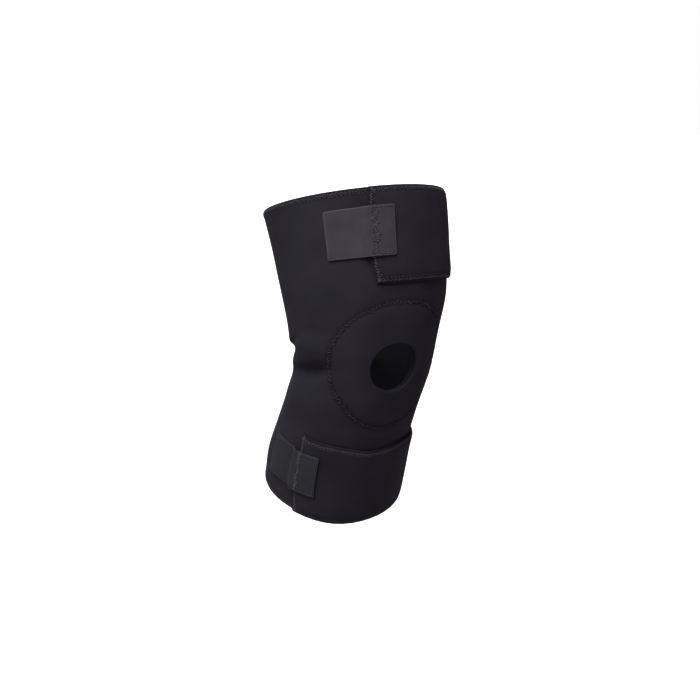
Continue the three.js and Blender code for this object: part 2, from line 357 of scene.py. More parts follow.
# %% Nodes of a finish
class Nodes:
    """Short ways to add and join the nodes of one material."""

    def __init__(self, material):
        self.nodes, self.links = material.node_tree.nodes, material.node_tree.links

    def add(self, kind, **values):
        node = self.nodes.new(kind)
        for key, value in values.items():
            setattr(node, key, value)
        return node

    def join(self, source, target):
        self.links.new(source, target)

    def math(self, operation, a, b=0.0):
        node = self.add("ShaderNodeMath", operation=operation)
        for socket, value in zip(node.inputs, (a, b)):
            if isinstance(value, (int, float)):
                socket.default_value = value
            else:
                self.join(value, socket)
        return node.outputs[0]

    def uv(self):
        split = self.add("ShaderNodeSeparateXYZ")
        self.join(self.add("ShaderNodeUVMap", uv_map="cloth").outputs[0], split.inputs[0])
        return split.outputs[0], split.outputs[1]

    def uv_mm(self):
        u, v = self.uv()
        return self.math("MULTIPLY", u, UV_MM), self.math("MULTIPLY", v, UV_MM)

    def pattern(self, kind, output, **values):
        """A noise or cell pattern in the piece's own space."""
        texture = self.add(kind)
        for name, value in values.items():
            texture.inputs[name].default_value = value
        self.join(self.add("ShaderNodeTexCoord").outputs["Object"], texture.inputs["Vector"])
        return texture.outputs[output]

    def noise(self, scale, detail):
        return self.pattern("ShaderNodeTexNoise", "Fac", Scale=scale, Detail=detail)

    def colours(self, factor, *stops):
        ramp = self.add("ShaderNodeValToRGB")
        for k, (at, colour) in enumerate(stops):
            element = ramp.color_ramp.elements[k] if k < 2 else ramp.color_ramp.elements.new(at)
            element.position, element.color = at, (*colour, 1)
        self.join(factor, ramp.inputs[0])
        return ramp.outputs[0]

    def shaded(self, colour, factor, shader):
        """Sends a colour to the shader after it is scaled by a factor."""
        shade = self.add("ShaderNodeVectorMath", operation="SCALE")
        self.join(colour, shade.inputs[0])
        self.join(factor, shade.inputs["Scale"])
        self.join(shade.outputs[0], shader.inputs["Base Color"])

    def bite(self):
        """The value that every piece of cloth carries in its vertices: painted shade of seams on neoprene, a
        paler selvedge on tape.
        """
        return self.add("ShaderNodeAttribute", attribute_name="bite").outputs["Fac"]

    def bump(self, height, distance, shader):
        bump = self.add("ShaderNodeBump")
        bump.inputs["Distance"].default_value = distance
        self.join(height, bump.inputs["Height"])
        self.join(bump.outputs[0], shader.inputs["Normal"])


print("helpers:", [name for name in vars(Nodes) if not name.startswith("_")])

# %% [markdown]
# The face of the neoprene is a fine jersey: columns of small V loops. It is made from the UV map, which is
# in real centimetres, so the loops follow the cloth. Near seams its colour is darkened as painted shade of
# the grooves that the thread pulls.

# %% Knitted face and lining
WALE, COURSE = 0.85, 0.7
# Strength of the painted seam shade.
SEAM_SHADE_STRENGTH = 0.32


def jersey(name, dark, light, depth):
    """A knitted face: columns of V loops, with uneven dye and a soft sheen of fibres."""
    material, shader = new_material(name, light, 0.78)
    n = Nodes(material)
    x, y = n.uv_mm()
    across = n.math("PINGPONG", n.math("DIVIDE", x, WALE), 0.5)
    along = n.math("ADD", n.math("DIVIDE", y, COURSE), across)
    loops = n.math("SINE", n.math("MULTIPLY", along, 2 * math.pi))
    column = n.math("SINE", n.math("MULTIPLY", across, 2 * math.pi))
    height = n.math("ADD", n.math("MULTIPLY", column, 0.6), n.math("MULTIPLY", loops, 0.4))
    fibres = n.noise(1800, 2)
    n.bump(n.math("ADD", height, n.math("MULTIPLY", fibres, 0.5)), depth * MM, shader)
    uneven = n.math("ADD", n.math("MULTIPLY", n.noise(26, 4), 0.7), n.math("MULTIPLY", fibres, 0.3))
    dye = n.colours(uneven, (0.32, dark), (0.68, light))
    # Painted shade: the colour is darkened near seams by the value that each vertex carries.
    n.shaded(dye, n.math("SUBTRACT", 1.0, n.math("MULTIPLY", n.bite(), SEAM_SHADE_STRENGTH)), shader)
    shader.inputs["Sheen Weight"].default_value = 0.015
    shader.inputs["Sheen Roughness"].default_value = 0.5
    shader.inputs["Sheen Tint"].default_value = (0.75, 0.72, 0.85, 1)
    return material


knit = jersey("neoprene_jersey", (0.0215, 0.0187, 0.0266), (0.0305, 0.0265, 0.0374), 0.16)
lining = jersey("pad_jersey", (0.016, 0.015, 0.019), (0.022, 0.0205, 0.0255), 0.12)
print("loops of", WALE, "by", COURSE, "mm")

# %% [markdown]
# Neoprene is foam, and its bare cut edge shows closed cells. Where an overlock closes an edge, thread lies
# beside thread across it. Both edges are a few millimetres wide, so bump is enough for them.

# %% Cut edges
CELLS = 2200
THREAD_TO_THREAD = 1.15


def foam_edge():
    material, shader = new_material("foam_edge", (0.014, 0.014, 0.016), 0.9)
    n = Nodes(material)
    cells = n.pattern("ShaderNodeTexVoronoi", "Distance", Scale=CELLS)
    n.bump(cells, 0.12 * MM, shader)
    tone = n.colours(cells, (0.1, (0.009, 0.009, 0.01)), (0.7, (0.02, 0.019, 0.023)))
    n.join(tone, shader.inputs["Base Color"])
    return material


def bound_edge():
    material, shader = new_material("bound_edge", (0.04, 0.037, 0.044), 0.8)
    n = Nodes(material)
    x, y = n.uv_mm()
    loops = n.math("SINE", n.math("MULTIPLY", n.math("ADD", x, y), 2 * math.pi / THREAD_TO_THREAD))
    n.bump(loops, 0.3 * MM, shader)
    tone = n.math("ADD", n.math("MULTIPLY", loops, 0.35), n.noise(420, 2))
    colour = n.colours(tone, (0.3, (0.016, 0.015, 0.018)), (0.85, (0.06, 0.056, 0.067)))
    n.join(colour, shader.inputs["Base Color"])
    return material


foam = foam_edge()
bound = bound_edge()
print("foam of", round(1 / CELLS / MM, 2), "mm cells")

# %% [markdown]
# Hook tape shows its woven back: fine ribs along it, crossed by the weft, and a paler selvedge. The lower
# tab faces down, away from the light, so it gets a darker copy of the same tape as painted shade.

# %% Hook tape
RIB, WEFT = 0.9, 0.75
SELVEDGE_SHINE = 0.5


def tape(name, dark, light):
    material, shader = new_material(name, light, 0.62)
    n = Nodes(material)
    x, y = n.uv_mm()
    warp = n.math("SINE", n.math("MULTIPLY", y, 2 * math.pi / RIB))
    weft = n.math("SINE", n.math("MULTIPLY", x, 2 * math.pi / WEFT))
    weave = n.math("MULTIPLY", warp, weft)
    height = n.math("ADD", n.math("MULTIPLY", weave, 0.6), n.math("MULTIPLY", warp, 0.4))
    fibres = n.noise(1500, 2)
    n.bump(n.math("ADD", height, fibres), 0.12 * MM, shader)
    uneven = n.math("ADD", n.math("MULTIPLY", n.noise(60, 4), 0.6), n.math("MULTIPLY", fibres, 0.4))
    dye = n.colours(uneven, (0.3, dark), (0.7, light))
    n.shaded(dye, n.math("ADD", n.math("MULTIPLY", n.bite(), SELVEDGE_SHINE), 1.0), shader)
    shader.inputs["Sheen Weight"].default_value = 0.02
    return material


hook_tape = tape("hook_tape_back", (0.038, 0.0345, 0.0425), (0.053, 0.048, 0.059))
# Painted shade: the lower tab's darker copy of the hook tape.
painted_shade_tape = tape("painted_shade_tape_back", (0.0225, 0.021, 0.0268), (0.031, 0.029, 0.0367))
print("tape ribs of", RIB, "mm")

# %% [markdown]
# Each stitch's colour is lighter in its middle, a painted highlight on its top, and darker at its ends,
# painted shade where it sinks into a needle hole. A noise makes some stitches duller than others, as wear
# does. The ring's thread is darker.

# %% Thread
def yarn(name, dark, light):
    """Plies that twist round the thread, and a tone with a painted highlight in the middle of a stitch and
    painted shade at both ends.
    """
    material, shader = new_material(name, light, 0.55)
    n = Nodes(material)
    along, around = n.uv()
    twist = n.math("ADD", n.math("MULTIPLY", along, 4), around)
    n.bump(n.math("SINE", n.math("MULTIPLY", twist, 6 * math.pi)), 0.05 * MM, shader)
    # Painted highlight in the middle of each stitch and painted shade at its ends.
    middle = n.math("SINE", n.math("MULTIPLY", along, math.pi))
    tone = n.math("MULTIPLY", n.math("POWER", middle, 1.3), n.math("ADD", n.noise(330, 2), 0.35))
    n.join(n.colours(tone, (0.25, dark), (0.85, light)), shader.inputs["Base Color"])
    return material


thread = yarn("seam_thread", (0.008, 0.0075, 0.009), (0.082, 0.075, 0.09))
ring_yarn = yarn("ring_thread", (0.009, 0.0085, 0.0102), (0.053, 0.048, 0.058))
tape_thread = yarn("tape_thread", (0.014, 0.013, 0.015), (0.088, 0.082, 0.096))
print("thread finishes:", [m.name for m in (thread, ring_yarn, tape_thread)])

# %% [markdown]
# The floor is white to the eye, but it throws little light up at the sleeve, as a floor far away in a
# studio does. So its paint is darker for every ray that doesn't come straight from the camera.

# %% Floor paint
floor_paint, floor_shader = new_material("floor_paint", (0.66, 0.66, 0.66), 0.8)
floor_nodes = Nodes(floor_paint)
seen_by = floor_nodes.add("ShaderNodeLightPath").outputs["Is Camera Ray"]
paint = floor_nodes.colours(seen_by, (0, (0.4, 0.4, 0.4)), (1, (0.7, 0.7, 0.7)))
floor_nodes.join(paint, floor_shader.inputs["Base Color"])
print("materials:", [m.name for m in bpy.data.materials])

# %% [markdown]
# Cloth is drafted on a grid, as on squared paper. A rule then bends the flat grid to the outline of the
# piece, and another rule lays it on the leg. Rules take whole arrays, because that is fast.

# %% Flat patterns
def flat_grid(low, high, pitch):
    """A flat grid between two corners, with a UV layer."""
    bm = bmesh.new()
    bm.loops.layers.uv.new("cloth")
    bm.verts.layers.float.new("bite")
    width, height = high[0] - low[0], high[1] - low[1]
    columns, rows = round(width / pitch), round(height / pitch)
    bmesh.ops.create_grid(bm, x_segments=columns, y_segments=rows, size=0.5)
    bmesh.ops.scale(bm, vec=(width, height, 1), verts=bm.verts)
    bmesh.ops.translate(bm, vec=(low[0] + width / 2, low[1] + height / 2, 0), verts=bm.verts)
    return bm


def bend_flat(bm, rule):
    """Moves the vertices of a flat pattern. rule takes arrays x and y and gives new ones."""
    flat = np.array([v.co for v in bm.verts])
    for vert, x, y in zip(bm.verts, *rule(flat[:, 0], flat[:, 1])):
        vert.co = (x, y, 0)


def round_corner(x, y, corner, radius):
    """Draws the square corner of a pattern in to an arc."""
    inward = np.sign([np.median(x) - corner[0], np.median(y) - corner[1]])
    middle = np.array(corner) + inward * radius
    dx, dy = (middle[0] - x) * inward[0], (middle[1] - y) * inward[1]
    inside = (dx > 0) & (dy > 0)
    draw = np.where(inside, np.maximum(dx, dy) / np.maximum(np.hypot(dx, dy), 1e-9), 1)
    return middle[0] - dx * draw * inward[0], middle[1] - dy * draw * inward[1]


def lay(verts, rule):
    """Moves flat vertices onto the leg. rule takes arrays x and y and gives points in metres."""
    flat = np.array([v.co for v in verts])
    for vert, point in zip(verts, rule(flat[:, 0], flat[:, 1])):
        vert.co = point


trial = flat_grid((0, 0), (10, 5), 1)
print("a trial pattern of 10 by 5 mm has", len(trial.faces), "faces")
trial.free()

# %% [markdown]
# A pattern needs a few things before it can be made up: its flat measures go into the UV map, and where
# its two ends meet in a seam, the wall between them has to go.

# %% Getting a pattern ready
SEAM_END = 1e-4


def finish_piece(name, bm, materials):
    for face in bm.faces:
        face.smooth = True
    mesh = bpy.data.meshes.new(name)
    bm.to_mesh(mesh)
    bm.free()
    for material in materials:
        mesh.materials.append(material)
    piece = bpy.data.objects.new(name, mesh)
    bpy.context.scene.collection.objects.link(piece)
    return piece


def map_flat(bm):
    """Turns the pattern's faces up and makes its flat measures the UV map."""
    uv = bm.loops.layers.uv["cloth"]
    bm.normal_update()
    if sum(face.normal.z for face in bm.faces) < 0:
        bmesh.ops.reverse_faces(bm, faces=bm.faces)
    for face in bm.faces:
        for loop in face.loops:
            loop[uv].uv = loop.vert.co.xy / UV_MM


def open_ends(bm, cut, left, right):
    """Removes the wall at the two ends of a pattern that meet in a seam, and gives the rest of it."""
    ends = [f for f in cut if all(min(v.co.x - left, right - v.co.x) < SEAM_END for v in f.verts)]
    rest = [f for f in cut if f not in set(ends)]
    bmesh.ops.delete(bm, geom=ends, context="FACES_ONLY")
    for edge in [e for e in bm.edges if not e.link_faces]:
        bm.edges.remove(edge)
    return rest


print("walls within", SEAM_END, "mm of a seam are removed")

# %% [markdown]
# Every piece of cloth goes through the same steps: a flat grid, its UV map, a wall by solidify, then each
# layer laid on the leg at its own lift, and the cut edges rounded by bevel. Doing it in this order keeps
# the thickness even, because both layers are placed by the same rule. The wall is given while the grid
# is flat, so it is easy to say which faces are the cut edge.

# %% From pattern to cloth
EDGE_ANGLE = math.radians(50)
HOLE_RADIUS = 23
WELD = 1e-6


def no_bite(x, y):
    return np.zeros(len(x))


def make_cloth(name, bm, outer, inner, rounding, segments, materials, bite=no_bite, joined=False):
    """Gives a flat pattern its wall, lays both layers on the leg and rounds the cut edges."""
    map_flat(bm)
    area = sum(f.calc_area() for f in bm.faces) * MM * MM
    left, right = min(v.co.x for v in bm.verts), max(v.co.x for v in bm.verts)
    bmesh.ops.solidify(bm, geom=list(bm.faces), thickness=1)
    bm.normal_update()
    cut = [f for f in bm.faces if abs(f.normal.z) < 0.5]
    if joined:
        cut = open_ends(bm, cut, left, right)
    for face in cut:
        in_hole = face.calc_center_median().xy.length < HOLE_RADIUS + 1
        face.material_index = 2 if in_hole and len(materials) > 2 else 1
    rim = {e for f in cut for e in f.edges if e.calc_face_angle(0) > EDGE_ANGLE}
    outside = [v for v in bm.verts if v.co.z > -0.5]
    inside = [v for v in bm.verts if v.co.z <= -0.5]
    # Each outer vertex carries the value that its finish reads: painted seam shade on neoprene, a paler
    # selvedge on tape.
    shade = bm.verts.layers.float["bite"]
    flat = np.array([v.co for v in outside])
    for vert, value in zip(outside, bite(flat[:, 0], flat[:, 1])):
        vert[shade] = value
    lay(outside, outer)
    lay(inside, inner)
    if joined:
        bmesh.ops.remove_doubles(bm, verts=bm.verts, dist=WELD)
    bmesh.ops.reverse_faces(bm, faces=bm.faces)
    bmesh.ops.bevel(
        bm, geom=[e for e in rim if e.is_valid], offset=rounding * MM, offset_type="OFFSET",
        segments=segments, profile=0.5, affect="EDGES", material=-1, clamp_overlap=True,
    )
    closed = all(e.is_manifold for e in bm.edges)
    litres = bm.calc_volume(signed=True) * 1000
    print(name, len(bm.faces), "faces, closed", closed)
    print("  flat", round(area, 4), "m2, filled", round(litres, 4), "litres")
    return finish_piece(name, bm, materials)


print("edges sharper than", round(math.degrees(EDGE_ANGLE)), "degrees are rounded")

# %% [markdown]
# The body is one tube of cloth from rim to rim. Its flat pattern is a grid with a square hole, and the
# squares around that hole are drawn in to a circle, so that the edge of the opening has even faces. The
# first and last columns meet at the back of the leg and are merged there.

# %% Body of the sleeve
WALL = 4
HOLE_CELLS, DRAWN_CELLS = 10, 21
BODY_PITCH = 2.05
RIM_PRESS, PRESS_REACH = 0.45, 3.2
# Widths, strength and fade of the painted seam shade at the rims and the ring.
OVERLOCK_SHADE_WIDTH, RING_SHADE, RING_SHADE_WIDE, SEAM_SHADE_FADE = 5.2, 0.5, 3.2, 0.7
ROWS_BELOW, ROWS_ABOVE = round(-BOTTOM / BODY_PITCH), round(TOP / BODY_PITCH)
HALF_COLUMNS = round(BACK_SEAM / BODY_PITCH)


def press(distance):
    """How far the overlock squeezes each face of the cloth near a sewn edge."""
    return RIM_PRESS * np.exp(-((distance / PRESS_REACH) ** 2))


def draw_to_circle(i, j):
    """From cells of the grid to millimetres, with the square hole drawn in to a circle."""
    x = i * BACK_SEAM / HALF_COLUMNS
    y = np.where(j < 0, j * -BOTTOM / ROWS_BELOW, j * TOP / ROWS_ABOVE)
    square = np.maximum(np.abs(i), np.abs(j))
    drawn = np.clip((DRAWN_CELLS - square) / (DRAWN_CELLS - HOLE_CELLS), 0, 1)
    radius = HOLE_RADIUS + (square - HOLE_CELLS) * BODY_PITCH
    scale = 1 + drawn * (radius / np.maximum(np.hypot(x, y), 1e-9) - 1)
    return x * scale, y * scale


def rim_distance(y):
    return np.minimum(TOP - y, y - BOTTOM)


def body_outer(x, y):
    return on_leg(turn_of(x), height_of(y), body_relief(x, y) - press(rim_distance(y)))


def body_inner(x, y):
    lift = -WALL + body_relief(x, y) * 0.5 + press(rim_distance(y))
    return on_leg(turn_of(x), height_of(y), lift)


def seam_bite(distance, width):
    """Painted shade along a row of thread, for the groove that it draws in: all of it up to a width, then
    none.
    """
    return 1 / (1 + np.exp((distance - width) / SEAM_SHADE_FADE))


# Painted shade: darker along the ring's zigzag and near both rims, as shade in the grooves that the thread
# pulls.
def body_bite(x, y):
    ring = RING_SHADE * seam_bite(np.abs(ring_distance(x, y) - RING_RADIUS), RING_SHADE_WIDE)
    return np.maximum(ring, seam_bite(rim_distance(y), OVERLOCK_SHADE_WIDTH))


pattern = flat_grid((-HALF_COLUMNS, -ROWS_BELOW), (HALF_COLUMNS, ROWS_ABOVE), 1)
doomed = [f for f in pattern.faces if max(abs(c) for c in f.calc_center_median().xy) < HOLE_CELLS]
bmesh.ops.delete(pattern, geom=doomed, context="FACES")
bend_flat(pattern, draw_to_circle)
sleeve = make_cloth(
    "sleeve_cloth", pattern, body_outer, body_inner, rounding=1.0, segments=3,
    materials=[knit, bound, foam], bite=body_bite, joined=True,
)

# %% [markdown]
# The ring sewn behind the opening is a flat washer of thin foam covered with jersey. A washer is easiest as
# a grid whose rows become circles. Its middle is a little thicker than its edges, as padding is.

# %% Padded ring
PAD_GAP, PAD_THICK, PAD_CROWN, PAD_THINNED = 0.35, 3, 0.7, 0.4
PAD_RADIUS = 63
PAD_COLUMNS, PAD_ROWS = 132, 18


def to_washer(i, j):
    angle = i / PAD_COLUMNS * 2 * np.pi
    radius = HOLE_RADIUS + (PAD_RADIUS - HOLE_RADIUS) * j / PAD_ROWS
    return radius * np.cos(angle), radius * np.sin(angle)


def pad_lift(x, y):
    """The pad's outer face follows the body's inner face, which has half of the body's relief."""
    return np.minimum(body_relief(x, y) * 0.5, 0.6) - WALL - PAD_GAP


def pad_outer(x, y):
    return on_leg(turn_of(x), height_of(y), pad_lift(x, y))


def pad_inner(x, y):
    share = (np.hypot(x, y) - HOLE_RADIUS) / (PAD_RADIUS - HOLE_RADIUS)
    crown = PAD_CROWN * (4 * share * (1 - share)) - PAD_THINNED
    return on_leg(turn_of(x), height_of(y), pad_lift(x, y) - PAD_THICK - crown)


pattern = flat_grid((0, 0), (PAD_COLUMNS, PAD_ROWS), 1)
bend_flat(pattern, to_washer)
bmesh.ops.remove_doubles(pattern, verts=pattern.verts, dist=1e-3)
pad = make_cloth(
    "kneecap_ring", pattern, pad_outer, pad_inner, rounding=1.0, segments=3, materials=[lining, lining]
)

# %% [markdown]
# Each flap is a strip of the same neoprene, sewn to the body at the far side and wrapped round the front.
# It lies on the body's own relief plus a small gap, so it never cuts through. Its free end slants a little.
# The lower flap's upper edge sags at the shin, falls away round the far side and rises at its free corner.

# %% Outlines of the flaps
GAP, FLAP_WALL = 0.35, 3.8
CORNER = 7
CORNER_DRAW, TOP_DRAW = 0.14, 0.7
SHIN_SAG, SHIN_TURN, SHIN_SPREAD = 3.5, 5, 20
FAR_FALL, FAR_TURN, FAR_SPREAD = 5, -34, 36
FREE_RISE, FREE_TURN, FREE_SPREAD = 4, 46, 21

upper_height = climbed(THIGH["length"], -86.5, 20.5)
lower_height = climbed(CALF["length"], 90, 0)
UPPER = {
    "root": -150, "end": 23.2, "slant": -3, "drawn": 2.5,
    "low": y_of(upper_height), "high": TOP, "sag": 0, "phase": 1.7,
}
LOWER = {
    "root": -140, "end": 60, "slant": 7, "drawn": 0,
    "low": BOTTOM, "high": y_of(lower_height), "sag": 1, "phase": 4.1,
}


def slant_of(flap, y):
    """Millimetres by which a flap's free end has moved round the leg at a height of its pattern."""
    low, high = height_of(flap["low"]), height_of(flap["high"])
    share = np.clip((height_of(y) - low) / (high - low), 0, 1)
    drawn = np.exp(-((share / CORNER_DRAW) ** 2)) + TOP_DRAW * share**8
    return np.radians(flap["slant"] * share - flap["drawn"] * drawn) * KNEE_RADIUS


def high_at(flap, x):
    """The upper edge of a flap, which is level where the flap has no sag."""
    turn = turn_of(x)
    shin = SHIN_SAG * np.exp(-(((turn - SHIN_TURN) / SHIN_SPREAD) ** 2))
    far = np.clip((FAR_TURN - turn) / FAR_SPREAD, 0, 1)
    free = np.clip((turn - FREE_TURN) / FREE_SPREAD, 0, 1)
    fall = FAR_FALL * far * far * (3 - 2 * far)
    return flap["high"] + flap["sag"] * (FREE_RISE * free * free - shin - fall)


def flap_edge(flap, x, y):
    """Distance in millimetres to the nearest sewn edge of a flap, on its pattern."""
    end = x_of(flap["end"]) + slant_of(flap, y)
    return np.minimum(end - x, np.minimum(y - flap["low"], high_at(flap, x) - y))


for flap in (UPPER, LOWER):
    print("flap", round(flap["high"] - flap["low"], 1), "mm high in the body's pattern, to turn", flap["end"])

# %% [markdown]
# Overlock pulls small puckers into a flap's edge and presses it thin. So the outer layer comes down at the
# edge, and the inner layer stays clear of the body under it.

# %% Wrap flaps
FLAP_PITCH = 2.1
FLAP_PRESS, FLAP_PRESS_REACH = 2.1, 5
FLAP_PUCKER_PITCH, FLAP_PUCKER_REACH = 9, 7


def flap_relief(flap, x, y):
    away = flap_edge(flap, x, y)
    soft = 0.5 * WAVE * (1 + waves(x, y, flap["phase"]))
    gathers = 1 + np.sin(2 * np.pi * (x + y) / FLAP_PUCKER_PITCH)
    pucker = 0.5 * PUCKER * gathers * np.exp(-((away / FLAP_PUCKER_REACH) ** 2))
    return body_relief(x, y) + soft + pucker


def flap_layers(flap):
    def outer(x, y):
        pressed = FLAP_PRESS * np.exp(-((flap_edge(flap, x, y) / FLAP_PRESS_REACH) ** 2))
        lift = GAP + FLAP_WALL + flap_relief(flap, x, y) - pressed
        return on_leg(turn_of(x), height_of(y), lift)

    def inner(x, y):
        lift = GAP + flap_relief(flap, x, y) - 0.5 * WAVE
        return on_leg(turn_of(x), height_of(y), np.maximum(lift, GAP + body_relief(x, y)))

    return outer, inner


def make_flap(name, flap):
    start, end = x_of(flap["root"]), x_of(flap["end"])
    pattern = flat_grid((start, flap["low"]), (end, flap["high"]), FLAP_PITCH)
    corner_y = flap["low"] if flap is UPPER else flap["high"]
    bend_flat(pattern, lambda x, y: round_corner(x, y, (end, corner_y), CORNER))

    def slide(x, y):
        share = (x - start) / (end - start)
        up = (y - flap["low"]) / (flap["high"] - flap["low"])
        slid = x + share * slant_of(flap, y)
        return slid, flap["low"] + up * (high_at(flap, slid) - flap["low"])

    # Painted shade along the flap's overlocked edges.
    def bite(x, y):
        return seam_bite(flap_edge(flap, x, y), OVERLOCK_SHADE_WIDTH)

    bend_flat(pattern, slide)
    return make_cloth(
        name, pattern, *flap_layers(flap), rounding=0.8, segments=3, materials=[knit, bound], bite=bite
    )


upper_flap = make_flap("upper_flap_cloth", UPPER)
lower_flap = make_flap("lower_flap_cloth", LOWER)

# %% [markdown]
# A tab is a piece of hook tape. Its right part is sewn on the flap's end, and the rest steps down over
# the flap's edge and grips the body. Real tape is stiff, so the step is a smooth slope, not a sharp bend.

# %% Place and step of the tabs
TAB_HEIGHT, TAB_WALL = 44.5, 1.5
TAB_PITCH = 1.5
TAB_RAMP, RAMP_START = 7.5, 0.7
TAB_CORNER = 1.6
ON_FLAP = FLAP_WALL + 2 * GAP

high = climbed(THIGH["length"], -17.5, UPPER["end"])
low = climbed(high, -TAB_HEIGHT, UPPER["end"])
UPPER_TAB = {
    "flap": UPPER, "low": y_of(low), "high": y_of(high),
    "sewn": 24, "length": 64, "radius": THIGH_RADIUS, "shine": 0,
}
low = climbed(CALF["length"], 27, LOWER["end"])
high = climbed(low, TAB_HEIGHT, LOWER["end"])
LOWER_TAB = {
    "flap": LOWER, "low": y_of(low), "high": y_of(high),
    "sewn": 23, "length": 61, "radius": CALF_RADIUS, "shine": 0.45,
}


def tab_span(tab):
    """Start, flap's edge and free end of a tab in pattern millimetres, before the slant."""
    stretch = KNEE_RADIUS / tab["radius"]
    edge = x_of(tab["flap"]["end"])
    start = edge - tab["sewn"] * stretch
    return start, edge, start + tab["length"] * stretch


def tab_lift(tab, x, y):
    """Height of the tab's under side over the body: on the flap, down its edge, then on the body."""
    flap = tab["flap"]
    edge = x_of(flap["end"]) + slant_of(flap, y)
    past = np.clip((x - edge - RAMP_START) / TAB_RAMP, 0, 1)
    down = past * past * (3 - 2 * past)
    on_flap = ON_FLAP + flap_relief(flap, x, y)
    return on_flap * (1 - down) + (GAP + body_relief(x, y)) * down


for tab in (UPPER_TAB, LOWER_TAB):
    print("tab from", round(tab_span(tab)[0], 1), "to", round(tab_span(tab)[2], 1), "mm round the pattern")

# %% [markdown]
# Tape is thin and woven firm, so a tab has small corners and an even wall, and its selvedge is paler.

# %% Hook tape tabs
def tab_layer(tab, extra):
    return lambda x, y: on_leg(turn_of(x), height_of(y), tab_lift(tab, x, y) + extra)


def make_tab(name, tab, tape_finish):
    start, edge, end = tab_span(tab)
    pattern = flat_grid((start, tab["low"]), (end, tab["high"]), TAB_PITCH)
    for corner in [(x, y) for x in (start, end) for y in (tab["low"], tab["high"])]:
        bend_flat(pattern, lambda x, y: round_corner(x, y, corner, TAB_CORNER))

    def slide(x, y):
        return x + slant_of(tab["flap"], y), y

    def selvedge(x, y):
        """The tape is paler along its edges, and on the lower tab also where it is sewn."""
        plain = x - slant_of(tab["flap"], y)
        sides = np.minimum(plain - start, end - plain)
        ends = np.minimum(y - tab["low"], tab["high"] - y)
        woven = 1 - np.clip(np.minimum(sides, ends) / TAB_PITCH, 0, 1)
        return np.maximum(woven, tab["shine"] * (plain < edge))

    bend_flat(pattern, slide)
    return make_cloth(
        name, pattern, tab_layer(tab, TAB_WALL), tab_layer(tab, 0), rounding=0.45, segments=2,
        materials=[tape_finish, tape_finish], bite=selvedge,
    )


upper_tab = make_tab("upper_tab_tape", UPPER_TAB, hook_tape)
lower_tab = make_tab("lower_tab_tape", LOWER_TAB, painted_shade_tape)

# %% [markdown]
# Stitches are short arches of thread that rise out of one needle hole and sink into the next. One
# arch is modelled once, from a circle that is extruded along a bow. It has a few dozen faces, because it
# is repeated a few thousand times.

# %% One stitch
THREAD_SIDES, THREAD_STEPS = 6, 5
SUNK, BOW = 1.2, 1.7


def make_arch():
    """An arch of thread from x = 0 to x = 1, with a radius of 1 across and its ends sunk."""
    bm = bmesh.new()
    uv = bm.loops.layers.uv.new("cloth")
    ring = bmesh.ops.create_circle(bm, cap_ends=True, radius=1, segments=THREAD_SIDES)["verts"]
    bmesh.ops.rotate(bm, matrix=Matrix.Rotation(math.pi / 2, 3, "Y"), verts=ring)
    bmesh.ops.translate(bm, vec=(0, 0, -SUNK), verts=ring)
    edges = bm.edges[:]
    for step in range(THREAD_STEPS):
        grown = bmesh.ops.extrude_edge_only(bm, edges=edges)["geom"]
        edges = [g for g in grown if isinstance(g, bmesh.types.BMEdge)]
        verts = [g for g in grown if isinstance(g, bmesh.types.BMVert)]
        rise = math.sin(math.pi * (step + 1) / THREAD_STEPS) - math.sin(math.pi * step / THREAD_STEPS)
        bmesh.ops.translate(bm, vec=(1 / THREAD_STEPS, 0, BOW * rise), verts=verts)
    bmesh.ops.edgeloop_fill(bm, edges=edges)
    bmesh.ops.recalc_face_normals(bm, faces=bm.faces)
    for f in bm.faces:
        for loop in f.loops:
            co = loop.vert.co
            loop[uv].uv = (co.x, math.atan2(co.y, co.z + 0.5) / (2 * math.pi))
    mesh = bpy.data.meshes.new("arch")
    bm.to_mesh(mesh)
    print("arch:", len(bm.faces), "faces, closed", all(e.is_manifold for e in bm.edges))
    bm.free()
    return mesh


ARCH = make_arch()

# %% [markdown]
# The arch is copied along a seam with one matrix for each stitch, which turns it, stretches it to the
# stitch's length and sets its thickness. All stitches of a seam become one piece of thread.

# %% Sewing
def sew(name, arches, thread):
    """One piece of thread from many arches, each given as (from, to, up, radius in metres)."""
    bm = bmesh.new()
    bm.loops.layers.uv.new("cloth")
    for a, b, up, radius in arches:
        a, b, up = Vector(a), Vector(b), Vector(up)
        ahead = b - a
        across = up.cross(ahead).normalized() * radius
        rise = ahead.cross(across).normalized() * radius
        matrix = Matrix((ahead, across, rise)).transposed().to_4x4()
        matrix.translation = a
        arch = ARCH.copy()
        arch.transform(matrix)
        bm.from_mesh(arch)
        bpy.data.meshes.remove(arch)
    print(name, len(arches), "arches,", len(bm.faces), "faces")
    return finish_piece(name, bm, [thread])


# %% [markdown]
# A seam is a line on a flat pattern. It is walked in even steps, and every step is lifted onto the same
# surface rule that laid the cloth, so stitches sit on the cloth wherever it bends.

# %% Seams on a surface
def on_surface(rule, x, y):
    """Points and outward directions of a surface rule at pattern points."""
    x, y = np.asarray(x, float), np.asarray(y, float)
    here = rule(x, y)
    across, along = rule(x + 0.5, y) - here, rule(x, y + 0.5) - here
    up = np.cross(along, across)
    up /= np.linalg.norm(up, axis=-1, keepdims=True)
    return here, up


def walk(points, pitch):
    """Even steps of about a pitch along a line of pattern points, with the direction at each."""
    points = np.array(points, float)
    gone = np.concatenate([[0], np.linalg.norm(np.diff(points, axis=0), axis=1).cumsum()])
    count = max(round(gone[-1] / pitch), 1)
    at = np.linspace(0, gone[-1], count + 1)
    line = np.stack([np.interp(at, gone, points[:, k]) for k in (0, 1)], -1)
    ahead = np.gradient(line, axis=0)
    return line, ahead / np.linalg.norm(ahead, axis=1, keepdims=True)


def left_of(ahead):
    return np.stack([-ahead[:, 1], ahead[:, 0]], -1)


